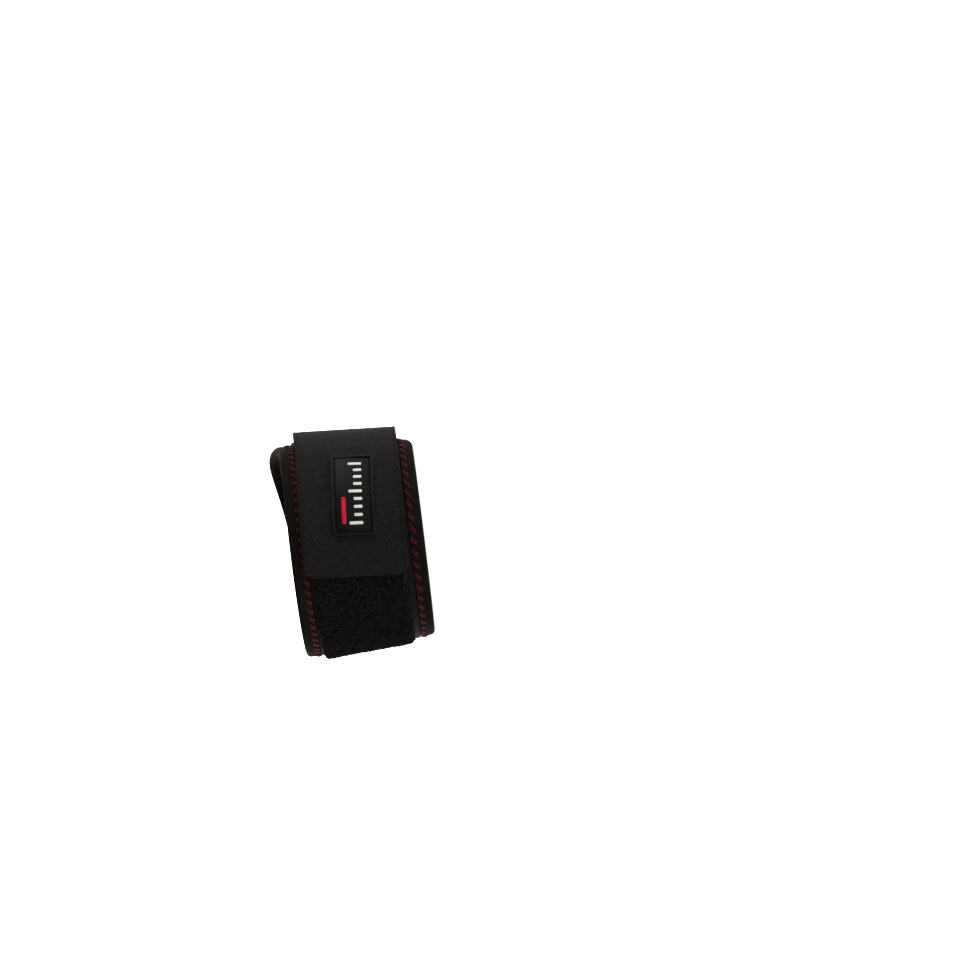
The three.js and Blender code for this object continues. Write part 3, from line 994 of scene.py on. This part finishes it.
class BRACE_OT_stitching(bpy.types.Operator):
    """Sews the red zigzag along the binding and the black seams of the panel, strap and label"""

    bl_idname = "brace.stitching"
    bl_label = "Stitching"

    def execute(self, context):
        sizes = context.scene.brace_sizes
        colours = context.scene.brace_colours
        red = sewing_thread("red_polyester_thread", colours.red_thread)
        black = sewing_thread("black_polyester_thread", colours.black_thread)
        for name, height, out in (("zigzag_outside", RIM_TOP, 1.0), ("zigzag_inside", RIM_FOOT, -1.0)):
            strands = self.zigzag(sizes, height, out)
            make_piece(name, joined(strands), [red])
        seams = [self.panel_seam(sizes), self.strap_seam(sizes), self.label_seam(sizes)]
        make_piece("black_seams", joined(seams), [black])
        return {"FINISHED"}

    def zigzag(self, sizes, height, out):
        """Two strands side by side on the way in from the rim, and one sunk in the tape on the way back."""
        strands = []
        for shift in (-ZIGZAG_TWIN, ZIGZAG_TWIN):
            near = self.holes(sizes, shift, sizes.zigzag_near, height)
            far = self.holes(sizes, ZIGZAG_SHARE + shift, sizes.zigzag_far, height)
            strands.append(stitches(near, far, on_band, out * 0.28 * MM, sizes.zigzag_thread))
        sunk = height - out * 0.2 * MM
        far = self.holes(sizes, ZIGZAG_SHARE + ZIGZAG_TWIN, sizes.zigzag_far, sunk)
        near = self.holes(sizes, 1.0 - ZIGZAG_TWIN, sizes.zigzag_near, sunk)
        strands.append(stitches(far, near, on_band, out * 0.05 * MM, 0.75 * sizes.zigzag_thread))
        return strands

    def holes(self, sizes, shift, inset, height):
        """One needle hole of each zigzag, at a share of its pitch and a distance in from the rim."""
        count, at = zigzag_steps(sizes)
        spot, into = at(np.arange(count) + shift)
        level = np.full((count, 1), height)
        return np.concatenate([spot + into * (inset + inboard(spot))[:, None], level], axis=-1)

    def seam(self, sizes, low, high, radius, height, place):
        """Straight stitches round a rectangle."""
        count, at = even_steps(*rim(low, high, radius, 0.5 * MM), sizes.seam_pitch)
        start, _ = at(np.arange(count))
        stop, _ = at(np.arange(count) + 0.82)
        level = np.full((count, 1), height)
        start = np.concatenate([start, level], axis=-1)
        stop = np.concatenate([stop, level], axis=-1)
        return stitches(start, stop, place, 0.12 * MM, sizes.seam_thread)

    def panel_seam(self, sizes):
        """Seam in the selvedges of the pile tape."""
        inset = 1.7 * MM
        low = (LOOP_SPAN[0] * BAND_ARC + inset, LOOP_EDGES[0] + inset)
        high = (LOOP_SPAN[1] * BAND_ARC - inset, LOOP_EDGES[1] - 0.6 * MM)
        return self.seam(sizes, low, high, 1.0 * MM, LOOP_TAPE_TOP, on_band)

    def strap_seam(self, sizes):
        """Box seam at the strap's sewn end."""
        inset = 2.5 * MM
        low = (124.0 * STRAP_ARC, inset - STRAP_WIDTH / 2)
        high = (STRAP_SPAN[1] * STRAP_ARC - inset, STRAP_WIDTH / 2 - inset)
        return self.seam(sizes, low, high, 1.0 * MM, STRAP_THICK, on_strap)

    def label_seam(self, sizes):
        """Seam in the label's channel."""
        inset = 1.42 * MM
        low = (inset - LABEL_SIZE[0] / 2, inset - LABEL_SIZE[1] / 2)
        high = (LABEL_SIZE[0] / 2 - inset, LABEL_SIZE[1] / 2 - inset)
        return self.seam(sizes, low, high, 0.6 * MM, LABEL_SIZE[2] - 1.0 * MM, on_label)


class BRACE_OT_stage(bpy.types.Operator):
    """Sets the pale floor, the soft light and the camera"""

    bl_idname = "brace.stage"
    bl_label = "Stage"

    def execute(self, context):
        self.floor(context)
        self.light(context)
        self.camera(context)
        return {"FINISHED"}

    def floor(self, context):
        bm = bmesh.new()
        bmesh.ops.create_grid(bm, x_segments=1, y_segments=1, size=4.0)
        mesh = bpy.data.meshes.new("studio_floor")
        bm.to_mesh(mesh)
        bm.free()
        mesh.materials.append(studio_floor(context.scene.brace_colours.floor))
        floor = bpy.data.objects.new("studio_floor", mesh)
        context.scene.collection.objects.link(floor)

    def light(self, context):
        world = bpy.data.worlds.new("studio")
        world.use_nodes = True
        tree = world.node_tree
        tree.nodes.clear()
        # A white room, dim in front of the brace and overhead, with soft panels behind and at the left
        view = add(tree, "ShaderNodeTexCoord")
        part = add(tree, "ShaderNodeSeparateXYZ", {0: view.outputs["Generated"]})
        overhead = remap(tree, part.outputs["Z"], (0.05, 0.45), (1.0, 0.28))
        front = remap(tree, part.outputs["Y"], (-0.9, 0.3), (0.28, 0.75))
        back_panel = remap(tree, part.outputs["Y"], (0.6, 0.85), (0.0, 2.4))
        left_panel = remap(tree, part.outputs["X"], (-0.3, -0.9), (0.0, 0.7))
        walls = maths(tree, "MULTIPLY", overhead, maths(tree, "ADD", front, left_panel))
        lit = maths(tree, "ADD", walls, back_panel)
        # The room looks plain white whichever way it is seen.
        path = add(tree, "ShaderNodeLightPath")
        strength = maths(tree, "MAXIMUM", lit, path.outputs["Is Camera Ray"])
        white = (1.0, 1.0, 1.0, 1.0)
        room = add(tree, "ShaderNodeBackground", {"Color": white, "Strength": strength})
        add(tree, "ShaderNodeOutputWorld", {"Surface": room.outputs[0]})
        context.scene.world = world
        context.scene.view_settings.view_transform = "Standard"
        light = bpy.data.lights.new("key", "SUN")
        light.energy = 2.2
        light.angle = math.radians(50.0)
        lamp = bpy.data.objects.new("key", light)
        lamp.rotation_euler = Vector((-1.0, 0.12, -0.06)).to_track_quat("-Z", "Y").to_euler()
        context.scene.collection.objects.link(lamp)

    def camera(self, context):
        # Where the middle of the brace lies in the square picture, and how the brace is turned there
        picture = 960
        seen_at = (359.2, 544.2)
        pixel = 0.4994 * MM
        distance = 1.044
        tilt = math.radians(6.95)
        yaw = math.radians(2.35)
        camera = bpy.data.cameras.new("camera")
        camera.sensor_width = 36.0
        camera.lens = camera.sensor_width * distance / (pixel * picture)
        camera.clip_start = 0.01
        camera.clip_end = 50.0
        # The brace's axes as the camera has them: right, down and away
        axis_z = -Vector((math.cos(tilt) * math.cos(yaw), -math.sin(tilt) * math.cos(yaw), math.sin(yaw)))
        up = Vector((-math.sin(tilt), -math.cos(tilt), 0.0))
        axis_x = (up - axis_z * up.dot(axis_z)).normalized()
        axis_y = axis_z.cross(axis_x)
        turned = Matrix((axis_x, axis_y, axis_z))
        offset = Vector((*((at - picture / 2) * pixel for at in seen_at), distance))
        middle = Vector((AXIS_X, AXIS_Y, BAND_WIDTH / 2))
        right, down, away = turned.col[0], turned.col[1], turned.col[2]
        holder = bpy.data.objects.new("camera", camera)
        pose = Matrix((right, -down, -away)).transposed().to_4x4()
        pose.translation = middle - turned @ offset
        holder.matrix_world = pose
        context.scene.collection.objects.link(holder)
        context.scene.camera = holder


OPERATORS = (
    BRACE_OT_band,
    BRACE_OT_binding,
    BRACE_OT_loop_panel,
    BRACE_OT_strap,
    BRACE_OT_label,
    BRACE_OT_stitching,
    BRACE_OT_stage,
)


class BRACE_PT_panel(bpy.types.Panel):
    """Lists the sizes, the colours and the pieces"""

    bl_idname = "BRACE_PT_panel"
    bl_label = "Tennis elbow brace"
    bl_space_type = "VIEW_3D"
    bl_region_type = "UI"
    bl_category = "Brace"

    def draw(self, context):
        for group in (context.scene.brace_sizes, context.scene.brace_colours):
            box = self.layout.box()
            for name in group.__annotations__:
                box.prop(group, name)
        for operator in OPERATORS:
            self.layout.operator(operator.bl_idname)


CLASSES = (BraceSizes, BraceColours, *OPERATORS, BRACE_PT_panel)


def register():
    for cls in CLASSES:
        bpy.utils.register_class(cls)
    bpy.types.Scene.brace_sizes = PointerProperty(type=BraceSizes)
    bpy.types.Scene.brace_colours = PointerProperty(type=BraceColours)


def unregister():
    del bpy.types.Scene.brace_colours
    del bpy.types.Scene.brace_sizes
    for cls in reversed(CLASSES):
        bpy.utils.unregister_class(cls)


def main():
    register()
    bpy.ops.brace.band()
    bpy.ops.brace.binding()
    bpy.ops.brace.loop_panel()
    bpy.ops.brace.strap()
    bpy.ops.brace.label()
    bpy.ops.brace.stitching()
    bpy.ops.brace.stage()
    bpy.context.view_layer.update()


if __name__ == "__main__":
    main()
